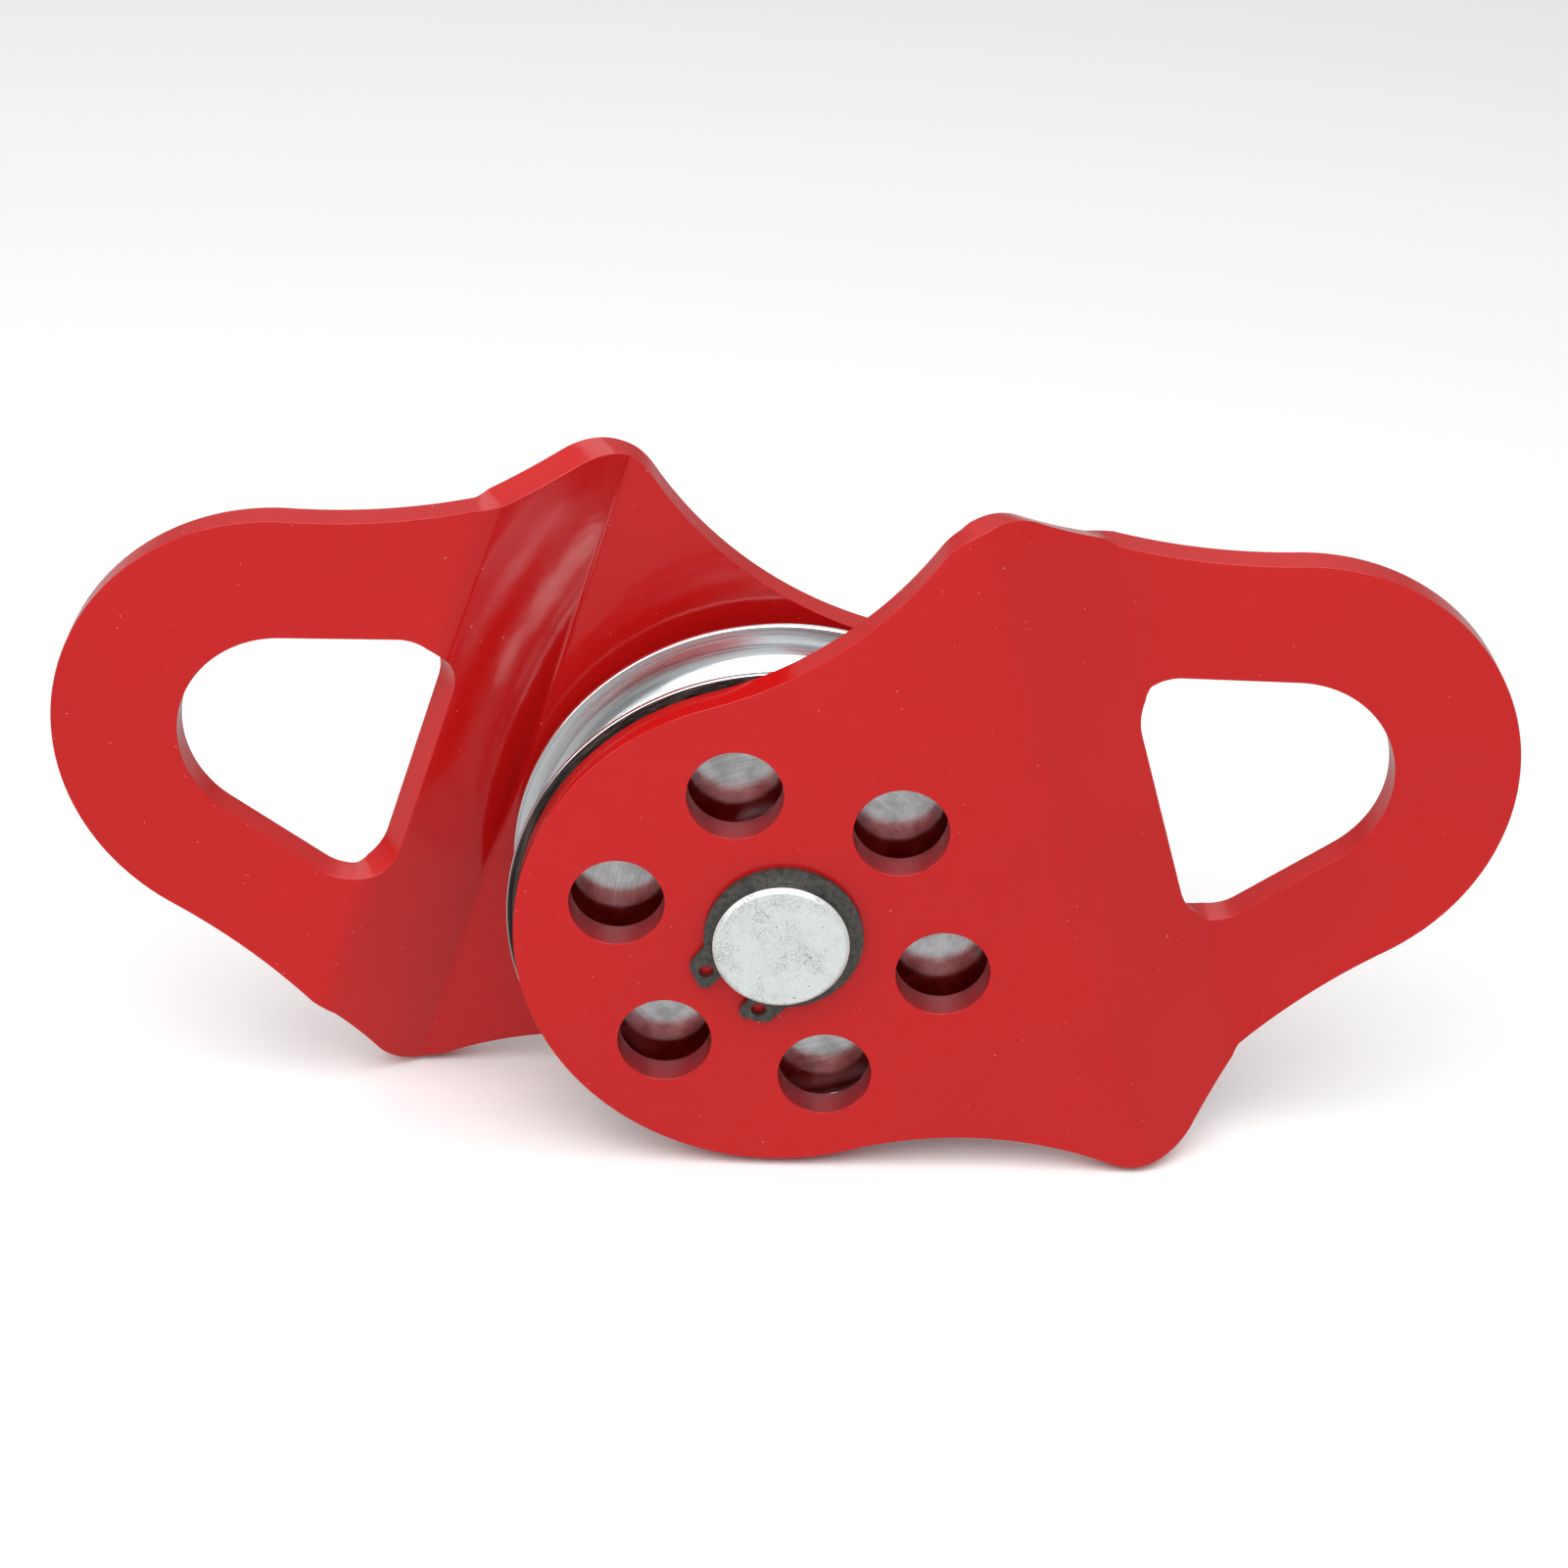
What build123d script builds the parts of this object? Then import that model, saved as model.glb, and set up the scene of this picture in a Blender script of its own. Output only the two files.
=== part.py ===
from build123d import *

"""Swing-cheek rope pulley: two joggled side plates, a grooved sheave and its pin.

The origin is on the pin's axis, midway between the two side plates. +Y runs
along the pin, from the front plate to the rear one, and +Z is up. The front
plate's eye points to +X and the rear plate's eye to -X. Lengths are in
millimetres and angles in degrees.
"""

import os
from math import atan2, cos, hypot, radians, sin, sqrt, tan

os.makedirs("parts", exist_ok=True)

# Pin
PIN_D = 25.0
PIN_LENGTH = 47.0
PIN_CHAMFER = 0.8
BORE_D = 25.1

# Side plates
PLATE_T = 6.4
CHEEK_GAP = 26.8
EYE_GAP = 1.0
OPEN_ANGLE = 17.3
HOLE_D = 17.4
HOLE_PCD = 61.5
HOLE_COUNT = 6

# Outline of a side plate laid flat, as arcs: round end, wing corner and eye end
ROUND_END_R = 48.8
WING_X = 55.1
WING_Z = 54.5
WING_R = 13.6
EYE_END_X = 95.7
EYE_END_R = 42.7
HOLLOW_A_R = 74.0
HOLLOW_B_R = 122.0
SECTION_STEP = 4.0

# Bends that bring the eye in towards the middle plane
BEND_A_X = 53.4
BEND_B_X = 75.15
BEND_R = 3.2

# Shackle eye: a round end and two round corners
EYE_R = 19.8
EYE_CORNER_X = 79.5
EYE_CORNER_Z = 17.0
EYE_CORNER_R = 8.8

# Sheave
SHEAVE_R = 50.5
SHEAVE_W = 21.0
SHEAVE_FRONT_GAP = 0.6
GROOVE_FLOOR_R = 40.5
GROOVE_R = 8.8
FLANK_ANGLE = 12.0
RIM_R = 0.5
RECESS_IN_R = 18.2
RECESS_OUT_R = 42.5
RECESS_DEPTH = 2.9
BUSHING_D = 30.0

# Washers on the pin, either side of the sheave
WASHER_D = 36.0
WASHER_PLAY = 0.05

# Retaining rings
RING_T = 1.2
RING_IN_D = 23.9
RING_OUT_R = 14.55
RING_OFFSET = 0.75
RING_GROOVE_W = 1.3
RING_PLAY = 0.02
RING_GAP_ANGLE = -129.0
RING_GAP_W = 7.3
LUG_NEAR = 3.9
LUG_FAR = 9.6
LUG_HOLE_ANGLE = 24.9
LUG_HOLE_PCD = 29.9
LUG_HOLE_D = 2.8

inner_y = CHEEK_GAP / 2
outer_y = inner_y + PLATE_T
plate_y = -inner_y - PLATE_T / 2
eye_y = -(EYE_GAP + PLATE_T) / 2
sheave_front_y = SHEAVE_FRONT_GAP - inner_y
sheave_rear_y = sheave_front_y + SHEAVE_W
sheave_y = (sheave_front_y + sheave_rear_y) / 2

# The plate's middle line in side view: its two corners, rounded by the bends
joggle = eye_y - plate_y
bend_angle = atan2(joggle, BEND_B_X - BEND_A_X)
mid_r = BEND_R + PLATE_T / 2
corner_shift = tan(bend_angle / 2) * PLATE_T / 2
corner_a = BEND_A_X - corner_shift
corner_b = BEND_B_X - corner_shift
trim = mid_r * tan(bend_angle / 2)
arc = mid_r * bend_angle
slope = (corner_b - corner_a) / cos(bend_angle) - 2 * trim
start_a = corner_a - trim
start_b = start_a + arc + slope
flat_extra = start_b + arc - corner_b - trim


def middle_line(along):
    """The middle line's point and heading at a flat distance from the pin."""
    if along < start_a:
        return along, plate_y, 0.0
    if along < start_a + arc:
        turn = (along - start_a) / mid_r
        return start_a + mid_r * sin(turn), plate_y + mid_r * (1 - cos(turn)), turn
    if along < start_b:
        run = trim + along - start_a - arc
        return corner_a + run * cos(bend_angle), plate_y + run * sin(bend_angle), bend_angle
    if along < start_b + arc:
        turn = bend_angle - (along - start_b) / mid_r
        return corner_b + trim - mid_r * sin(turn), eye_y - mid_r * (1 - cos(turn)), turn
    return along - flat_extra, eye_y, 0.0


def hollow(radius, left, left_r, right, right_r):
    """Centre of the hollow arc that touches two round corners from outside."""
    dx = right[0] - left[0]
    dz = right[1] - left[1]
    apart = hypot(dx, dz)
    run = ((radius + left_r) ** 2 - (radius + right_r) ** 2 + apart**2) / (2 * apart)
    rise = sqrt((radius + left_r) ** 2 - run**2)
    return left[0] + (run * dx - rise * dz) / apart, left[1] + (run * dz + rise * dx) / apart


flat_end_x = EYE_END_X + flat_extra
hollow_a = hollow(HOLLOW_A_R, (0, 0), ROUND_END_R, (WING_X, WING_Z), WING_R)
hollow_b = hollow(HOLLOW_B_R, (WING_X, WING_Z), WING_R, (flat_end_x, 0), EYE_END_R)
wing_start = WING_X - (WING_X - hollow_a[0]) * WING_R / (WING_R + HOLLOW_A_R)
wing_stop = WING_X + (hollow_b[0] - WING_X) * WING_R / (WING_R + HOLLOW_B_R)
end_start = flat_end_x + (hollow_b[0] - flat_end_x) * EYE_END_R / (EYE_END_R + HOLLOW_B_R)


def half_width(along):
    """Half width of the flat plate between its round end and its eye end."""
    if along < wing_start:
        return hollow_a[1] - sqrt(HOLLOW_A_R**2 - (along - hollow_a[0]) ** 2)
    if along < wing_stop:
        return WING_Z + sqrt(WING_R**2 - (along - WING_X) ** 2)
    return hollow_b[1] - sqrt(HOLLOW_B_R**2 - (along - hollow_b[0]) ** 2)


# The plate's outline as a body, thicker than the plate and bent as it is
tool_t = PLATE_T + BEND_R / 2
section_count = round(end_start / SECTION_STEP)
with BuildPart() as outline:
    for step in range(section_count + 1):
        along = end_start * step / section_count
        x, y, heading = middle_line(along)
        across = Plane(origin=(x, y, 0), x_dir=(0, 0, 1), z_dir=(cos(heading), sin(heading), 0))
        with BuildSketch(across):
            Rectangle(2 * half_width(along), tool_t)
    loft()
    with BuildSketch(Plane.XZ.offset(-plate_y)):
        Circle(ROUND_END_R)
    extrude(amount=tool_t / 2, both=True)
    with BuildSketch(Plane.XZ.offset(-eye_y)):
        with Locations((EYE_END_X, 0)):
            Circle(EYE_END_R)
    extrude(amount=tool_t / 2, both=True)

# One side plate with its eye along +X and its outer face towards -Y
with BuildPart() as side_plate:
    with BuildSketch(Plane.XY):
        with BuildLine():
            FilletPolyline(
                (-2 * ROUND_END_R, plate_y),
                (corner_a, plate_y),
                (corner_b, eye_y),
                (EYE_END_X + 2 * EYE_END_R, eye_y),
                radius=mid_r,
            )
            offset(amount=PLATE_T / 2, side=Side.BOTH, mode=Mode.REPLACE)
        make_face()
    extrude(amount=2 * ROUND_END_R, both=True)
    add(outline.part, mode=Mode.INTERSECT)
    with BuildSketch(Plane.XZ):
        Circle(BORE_D / 2)
        with PolarLocations(HOLE_PCD / 2, HOLE_COUNT, start_angle=30):
            Circle(HOLE_D / 2)
    extrude(amount=outer_y + 1, mode=Mode.SUBTRACT)
    with BuildSketch(Plane.XZ):
        with Locations((EYE_END_X, 0)):
            Circle(EYE_R)
        with Locations((EYE_CORNER_X, EYE_CORNER_Z), (EYE_CORNER_X, -EYE_CORNER_Z)):
            Circle(EYE_CORNER_R)
        make_hull()
    extrude(amount=outer_y + 1, mode=Mode.SUBTRACT)

with BuildPart() as front_side_plate:
    add(side_plate.part, rotation=(0, -OPEN_ANGLE, 0))
front_side_plate.part.label = "front_side_plate"

with BuildPart() as rear_side_plate:
    add(side_plate.part.rotate(Axis.Z, 180), rotation=(0, OPEN_ANGLE, 0))
rear_side_plate.part.label = "rear_side_plate"

# Sheave: a half section with a round-bottomed groove and dished sides, turned about the pin
flank = radians(FLANK_ANGLE)
arc_end_r = GROOVE_FLOOR_R + GROOVE_R * (1 - sin(flank))
arc_end_w = GROOVE_R * cos(flank)
mouth = arc_end_w + (SHEAVE_R - arc_end_r) * tan(flank)
with BuildPart() as sheave:
    with BuildSketch(Plane.XY):
        with BuildLine():
            Polyline(
                (arc_end_r, sheave_y - arc_end_w),
                (SHEAVE_R, sheave_y - mouth),
                (SHEAVE_R, sheave_front_y),
                (RECESS_OUT_R, sheave_front_y),
                (RECESS_OUT_R, sheave_front_y + RECESS_DEPTH),
                (RECESS_IN_R, sheave_front_y + RECESS_DEPTH),
                (RECESS_IN_R, sheave_front_y),
                (BUSHING_D / 2, sheave_front_y),
                (BUSHING_D / 2, sheave_rear_y),
                (RECESS_IN_R, sheave_rear_y),
                (RECESS_IN_R, sheave_rear_y - RECESS_DEPTH),
                (RECESS_OUT_R, sheave_rear_y - RECESS_DEPTH),
                (RECESS_OUT_R, sheave_rear_y),
                (SHEAVE_R, sheave_rear_y),
                (SHEAVE_R, sheave_y + mouth),
                (arc_end_r, sheave_y + arc_end_w),
            )
            ThreePointArc(
                (arc_end_r, sheave_y + arc_end_w),
                (GROOVE_FLOOR_R, sheave_y),
                (arc_end_r, sheave_y - arc_end_w),
            )
        make_face()
    revolve(axis=Axis.Y)
    rim_edges = sheave.edges().filter_by(GeomType.CIRCLE).filter_by(lambda e: e.radius > SHEAVE_R - 0.01)
    fillet(rim_edges, RIM_R)
sheave.part.label = "sheave"

with BuildPart() as sheave_bushing:
    with BuildSketch(Plane.XZ.offset(-sheave_front_y)):
        Circle(BUSHING_D / 2)
        Circle(BORE_D / 2, mode=Mode.SUBTRACT)
    extrude(amount=-SHEAVE_W)
sheave_bushing.part.label = "sheave_bushing"

# Pin with a groove for a retaining ring near each end
with BuildPart() as centre_pin:
    with BuildSketch(Plane.XZ):
        Circle(PIN_D / 2)
    extrude(amount=PIN_LENGTH / 2, both=True)
    chamfer(centre_pin.edges().filter_by(GeomType.CIRCLE), PIN_CHAMFER)
    for side in (-1, 1):
        groove_y = side * (outer_y + RING_PLAY + RING_GROOVE_W / 2)
        with BuildSketch(Plane.XZ.offset(-groove_y)):
            Circle(PIN_D)
            Circle(RING_IN_D / 2, mode=Mode.SUBTRACT)
        extrude(amount=RING_GROOVE_W / 2, both=True, mode=Mode.SUBTRACT)
centre_pin.part.label = "centre_pin"


def retaining_ring(y):
    """Open ring with two eared ends, centred at y on the pin."""
    ear = [
        (0, 0),
        (16.3, LUG_NEAR),
        (16.9, 5.0),
        (15.2, 8.8),
        (14.2, LUG_FAR),
        (10.1, 9.9),
        (8.0, 9.0),
    ]
    mirrored = [(out, -across) for out, across in ear]
    with BuildPart() as ring:
        with BuildSketch(Plane.XZ.offset(-y)):
            with PolarLocations(RING_OFFSET, 1, start_angle=RING_GAP_ANGLE + 180):
                Circle(RING_OUT_R)
            with Locations(Rotation(0, 0, RING_GAP_ANGLE)):
                Polygon(*ear, align=None)
                Polygon(*mirrored, align=None)
            Circle(RING_IN_D / 2, mode=Mode.SUBTRACT)
            with PolarLocations(RING_IN_D / 2, 1, start_angle=RING_GAP_ANGLE):
                Rectangle(RING_IN_D, RING_GAP_W, mode=Mode.SUBTRACT)
            for turn in (-LUG_HOLE_ANGLE, LUG_HOLE_ANGLE):
                with PolarLocations(LUG_HOLE_PCD / 2, 1, start_angle=RING_GAP_ANGLE + turn):
                    Circle(LUG_HOLE_D / 2, mode=Mode.SUBTRACT)
        extrude(amount=RING_T / 2, both=True)
    return ring.part


ring_y = outer_y + RING_PLAY + RING_GROOVE_W / 2
front_retaining_ring = retaining_ring(-ring_y)
front_retaining_ring.label = "front_retaining_ring"
rear_retaining_ring = retaining_ring(ring_y)
rear_retaining_ring.label = "rear_retaining_ring"


def washer(start_y, stop_y):
    """Flat washer on the pin between two places along it."""
    with BuildPart() as ring:
        with BuildSketch(Plane.XZ.offset(-start_y)):
            Circle(WASHER_D / 2)
            Circle(BORE_D / 2, mode=Mode.SUBTRACT)
        extrude(amount=start_y - stop_y)
    return ring.part


front_shim_washer = washer(WASHER_PLAY - inner_y, sheave_front_y - WASHER_PLAY)
front_shim_washer.label = "front_shim_washer"
rear_spacer_ring = washer(sheave_rear_y + WASHER_PLAY, inner_y - WASHER_PLAY)
rear_spacer_ring.label = "rear_spacer_ring"

export_step(front_side_plate.part, "parts/front_side_plate.step")
export_step(rear_side_plate.part, "parts/rear_side_plate.step")
export_step(sheave.part, "parts/sheave.step")
export_step(sheave_bushing.part, "parts/sheave_bushing.step")
export_step(centre_pin.part, "parts/centre_pin.step")
export_step(front_retaining_ring, "parts/front_retaining_ring.step")
export_step(rear_retaining_ring, "parts/rear_retaining_ring.step")
export_step(front_shim_washer, "parts/front_shim_washer.step")
export_step(rear_spacer_ring, "parts/rear_spacer_ring.step")
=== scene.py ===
import logging
import math
from collections.abc import Callable, Sequence
from dataclasses import dataclass, field
from enum import Enum

import bmesh
import bpy
from mathutils import Matrix, Vector


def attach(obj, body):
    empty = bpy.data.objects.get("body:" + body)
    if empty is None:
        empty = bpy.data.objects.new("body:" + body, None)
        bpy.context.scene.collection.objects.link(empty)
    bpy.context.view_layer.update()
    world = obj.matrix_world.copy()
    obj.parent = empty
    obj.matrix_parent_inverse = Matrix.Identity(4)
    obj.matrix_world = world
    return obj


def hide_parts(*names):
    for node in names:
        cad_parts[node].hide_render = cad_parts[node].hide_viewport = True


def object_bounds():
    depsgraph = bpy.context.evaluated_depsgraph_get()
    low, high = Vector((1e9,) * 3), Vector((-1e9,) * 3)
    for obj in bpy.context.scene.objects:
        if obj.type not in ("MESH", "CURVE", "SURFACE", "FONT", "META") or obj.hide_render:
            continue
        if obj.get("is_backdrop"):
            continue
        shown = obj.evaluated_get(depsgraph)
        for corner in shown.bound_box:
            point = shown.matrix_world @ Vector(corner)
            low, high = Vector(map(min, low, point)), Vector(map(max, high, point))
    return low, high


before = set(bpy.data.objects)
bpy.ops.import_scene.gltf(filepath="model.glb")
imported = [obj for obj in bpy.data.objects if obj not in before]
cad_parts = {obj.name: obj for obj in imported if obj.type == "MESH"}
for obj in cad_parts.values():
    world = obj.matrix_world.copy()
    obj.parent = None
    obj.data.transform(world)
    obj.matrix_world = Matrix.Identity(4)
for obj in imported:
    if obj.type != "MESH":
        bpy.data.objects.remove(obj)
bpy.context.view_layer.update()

logging.basicConfig(level=logging.INFO, format="%(message)s")
log = logging.getLogger("rope_pulley")

Point = tuple[float, float, float]
Colour = tuple[float, float, float, float]
Circle = tuple[float, float, float]

SLICE_TOLERANCE = 1e-7
MERGE_DISTANCE = 1e-6
ROW_TOLERANCE = 1e-5
SOFT_CORNER = math.radians(35)
SMOOTH_CORNER = math.radians(40)


class Side(Enum):
    """The end of the pin that a piece is on, as its sign along Y."""

    FRONT = -1
    REAR = 1


# ---------------------------------------------------------------- modelling


class Workpiece:
    """A mesh on the bench, drawn and shaped in edit mode."""

    def __init__(self, obj: bpy.types.Object) -> None:
        """Takes the object that is being shaped."""
        self.obj = obj

    @classmethod
    def start(cls, name: str, at: Point) -> "Workpiece":
        """Puts down a single point, ready for strokes.

        Args:
            name: The new piece's name.
            at: Where the first stroke starts, in metres.

        Returns:
            The piece, in edit mode with its point selected.
        """
        bpy.ops.object.select_all(action="DESELECT")
        bpy.ops.mesh.primitive_plane_add(size=0.01)
        piece = cls(bpy.context.object)
        piece.obj.name = name
        piece.obj.data.name = name
        bpy.ops.object.mode_set(mode="EDIT")
        bpy.ops.mesh.select_mode(type="VERT")
        bpy.ops.mesh.select_all(action="SELECT")
        bpy.ops.mesh.merge(type="CENTER")
        bpy.ops.transform.translate(value=at)
        return piece

    @classmethod
    def rod(cls, name: str, circle: Circle, low: float, high: float, sides: int) -> "Workpiece":
        """Adds a round rod along Y.

        Args:
            name: The new piece's name.
            circle: Its x, z and radius.
            low: Its lower end along Y.
            high: Its upper end along Y.
            sides: How many sides it has round.

        Returns:
            The piece, in object mode.
        """
        bpy.ops.object.select_all(action="DESELECT")
        bpy.ops.mesh.primitive_cylinder_add(
            vertices=sides,
            radius=circle[2],
            depth=high - low,
            location=(circle[0], (low + high) / 2, circle[1]),
            rotation=(math.pi / 2, 0, 0),
        )
        piece = cls(bpy.context.object)
        piece.obj.name = name
        piece.obj.data.name = name
        bpy.ops.object.transform_apply()
        return piece

    def line(self, to: Point) -> None:
        """Draws a straight edge from the last point."""
        last = [v for v in bmesh.from_edit_mesh(self.obj.data).verts if v.select][0]
        move = Vector(to) - last.co
        bpy.ops.mesh.extrude_region_move(TRANSFORM_OT_translate={"value": move})

    def arc(self, centre: Point, axis: Point, turn: float, steps: int) -> None:
        """Draws an arc from the last point, right-handed about axis."""
        bpy.ops.mesh.spin(
            steps=steps, angle=-turn, center=centre, axis=axis, use_auto_merge=False
        )

    def close(self) -> None:
        """Joins the last point to the first where they meet."""
        bpy.ops.mesh.select_all(action="SELECT")
        bpy.ops.mesh.remove_doubles(threshold=MERGE_DISTANCE)

    def lathe(self, steps: int) -> None:
        """Turns the drawn section once round the Y axis into a closed body."""
        bpy.ops.mesh.select_all(action="SELECT")
        bpy.ops.mesh.spin(
            steps=steps, angle=2 * math.pi, center=(0, 0, 0), axis=(0, 1, 0), use_auto_merge=True
        )
        self.tidy()

    def thicken(self, depth: float) -> None:
        """Fills the drawn outline and extrudes it along Y."""
        bpy.ops.mesh.select_all(action="SELECT")
        bpy.ops.mesh.edge_face_add()
        bpy.ops.mesh.extrude_region_move(TRANSFORM_OT_translate={"value": (0, depth, 0)})
        self.tidy()

    def tidy(self) -> None:
        """Merges doubled points, turns the faces outwards and leaves edit mode."""
        bpy.ops.mesh.select_all(action="SELECT")
        bpy.ops.mesh.remove_doubles(threshold=MERGE_DISTANCE)
        bpy.ops.mesh.normals_make_consistent(inside=False)
        bpy.ops.object.mode_set(mode="OBJECT")

    def edit(self) -> None:
        """Selects this piece alone and enters edit mode on it."""
        bpy.ops.object.select_all(action="DESELECT")
        self.obj.select_set(True)
        bpy.context.view_layer.objects.active = self.obj
        bpy.ops.object.mode_set(mode="EDIT")
        bpy.ops.mesh.select_mode(type="VERT")

    def pick(self, wanted: Callable[[bmesh.types.BMVert], bool]) -> None:
        """Selects the points that wanted names, and no others."""
        mesh = bmesh.from_edit_mesh(self.obj.data)
        for vert in mesh.verts:
            vert.select = wanted(vert)
        mesh.select_flush(True)
        mesh.select_flush(False)
        bmesh.update_edit_mesh(self.obj.data)

    def modify(self, kind: str, **settings: object) -> None:
        """Adds a modifier with these settings and applies it."""
        bpy.ops.object.select_all(action="DESELECT")
        self.obj.select_set(True)
        bpy.context.view_layer.objects.active = self.obj
        bpy.ops.object.modifier_add(type=kind)
        modifier = self.obj.modifiers[-1]
        for key, value in settings.items():
            setattr(modifier, key, value)
        bpy.ops.object.modifier_apply(modifier=modifier.name)

    def combine(self, other: "Workpiece", how: str) -> None:
        """Unites with, or cuts away, another piece, which is used up."""
        self.modify("BOOLEAN", operation=how, solver="EXACT", object=other.obj)
        bpy.data.objects.remove(other.obj)

    def soften(self, width: float, segments: int = 3, angle: float = SOFT_CORNER) -> None:
        """Rounds every edge sharper than angle."""
        self.modify(
            "BEVEL",
            width=width,
            segments=segments,
            limit_method="ANGLE",
            angle_limit=angle,
        )

    def smooth(self) -> None:
        """Shades smooth, with the large faces kept flat."""
        bpy.ops.object.select_all(action="DESELECT")
        self.obj.select_set(True)
        bpy.context.view_layer.objects.active = self.obj
        bpy.ops.object.shade_smooth_by_angle(angle=SMOOTH_CORNER)
        self.modify("WEIGHTED_NORMAL", keep_sharp=True, weight=50)

    def copy(self, name: str) -> "Workpiece":
        """Copies the piece with its own mesh."""
        twin = self.obj.copy()
        twin.data = self.obj.data.copy()
        twin.name = name
        twin.data.name = name
        bpy.context.scene.collection.objects.link(twin)
        return Workpiece(twin)


def install(piece: Workpiece, body: str, slot: str, *nodes: str) -> None:
    """Seats a finished piece on its body in place of its CAD nodes.

    Args:
        piece: The finished piece.
        body: The body that it moves with.
        slot: Not used; callers pass the record's material slot name.
        nodes: The CAD nodes that it stands for.
    """
    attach(piece.obj, body)
    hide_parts(*nodes)
    log.info("%s: %d faces on %s", piece.obj.name, len(piece.obj.data.polygons), body)


# ---------------------------------------------------------------- finishes


class Recipe:
    """A procedural material that is wired up a node at a time."""

    def __init__(self, name: str) -> None:
        """Starts a material from its shader and the object's own coordinates."""
        self.material = bpy.data.materials.new(name)
        self.material.use_nodes = True
        self.tree = self.material.node_tree
        self.shader = self.tree.nodes["Principled BSDF"]
        self.coords = self.add("ShaderNodeTexCoord").outputs["Object"]

    def add(self, kind: str, inputs: dict[str, object] | None = None, **settings: object) -> bpy.types.Node:
        """Adds a node, sets it up and wires what feeds it.

        Args:
            kind: The node's type.
            inputs: Numbers or sockets for its inputs, by name or index.
            settings: The node's own properties.

        Returns:
            The node.
        """
        node = self.tree.nodes.new(kind)
        for key, value in settings.items():
            setattr(node, key, value)
        for key, value in (inputs or {}).items():
            self.feed(node.inputs[key], value)
        return node

    def feed(self, socket: bpy.types.NodeSocket, value: object) -> None:
        """Links a socket to another, or sets its number."""
        if isinstance(value, bpy.types.NodeSocket):
            self.tree.links.new(value, socket)
        else:
            socket.default_value = value

    def noise(
        self, scale: float, detail: float = 3.0, rough: float = 0.5, at: object = None
    ) -> bpy.types.NodeSocket:
        """Noise at a scale per metre, as a value from 0 to 1."""
        at = self.coords if at is None else at
        inputs = {"Vector": at, "Scale": scale, "Detail": detail, "Roughness": rough}
        return self.add("ShaderNodeTexNoise", inputs).outputs["Fac"]

    def stretched(self, scale: Point, turn: Point = (0.0, 0.0, 0.0)) -> bpy.types.NodeSocket:
        """The object's coordinates, turned and scaled along each axis."""
        inputs = {"Vector": self.coords, "Rotation": turn, "Scale": scale}
        return self.add("ShaderNodeMapping", inputs).outputs["Vector"]

    def ramp(
        self, value: object, low: float, high: float, out: tuple[float, float] = (0, 1)
    ) -> bpy.types.NodeSocket:
        """Maps a value from low and high to a pair of output values."""
        inputs = {"Value": value, "From Min": low, "From Max": high, "To Min": out[0], "To Max": out[1]}
        return self.add("ShaderNodeMapRange", inputs).outputs["Result"]

    def maths(self, how: str, first: object, second: object = 0.5) -> bpy.types.NodeSocket:
        """Works out one number from two."""
        return self.add("ShaderNodeMath", {0: first, 1: second}, operation=how).outputs[0]

    def mix(self, amount: object, first: object, second: object) -> bpy.types.NodeSocket:
        """Blends two colours."""
        node = self.add("ShaderNodeMix", data_type="RGBA")
        for index, value in ((0, amount), (6, first), (7, second)):
            self.feed(node.inputs[index], value)
        return node.outputs[2]

    def radius(self) -> bpy.types.NodeSocket:
        """Distance from the pin's axis."""
        parts = self.add("ShaderNodeSeparateXYZ", {"Vector": self.coords})
        flat = self.add("ShaderNodeCombineXYZ", {"X": parts.outputs["X"], "Y": parts.outputs["Z"]})
        return self.add("ShaderNodeVectorMath", {0: flat.outputs[0]}, operation="LENGTH").outputs["Value"]

    def turned(self, scale: float, drift: float = 0.0) -> bpy.types.NodeSocket:
        """Coordinates that run along a turned surface's profile, with a slight drift round it."""
        parts = self.add("ShaderNodeSeparateXYZ", {"Vector": self.coords})
        angle = self.maths("ARCTAN2", parts.outputs["X"], parts.outputs["Z"])
        inputs = {
            "X": self.maths("MULTIPLY", self.radius(), scale),
            "Y": self.maths("MULTIPLY", parts.outputs["Y"], scale),
            "Z": self.maths("MULTIPLY", self.maths("SINE", angle), drift),
        }
        return self.add("ShaderNodeCombineXYZ", inputs).outputs[0]

    def bump(self, height: object, distance: float, below: object = None) -> bpy.types.NodeSocket:
        """Raises the surface by height times distance, on top of another bump."""
        inputs = {"Height": height, "Distance": distance, "Strength": 1.0}
        if below is not None:
            inputs["Normal"] = below
        return self.add("ShaderNodeBump", inputs).outputs["Normal"]

    def finish(self, **inputs: object) -> bpy.types.Material:
        """Feeds the shader's sockets and returns the material."""
        for key, value in inputs.items():
            self.feed(self.shader.inputs[key.replace("_", " ")], value)
        return self.material


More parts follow.
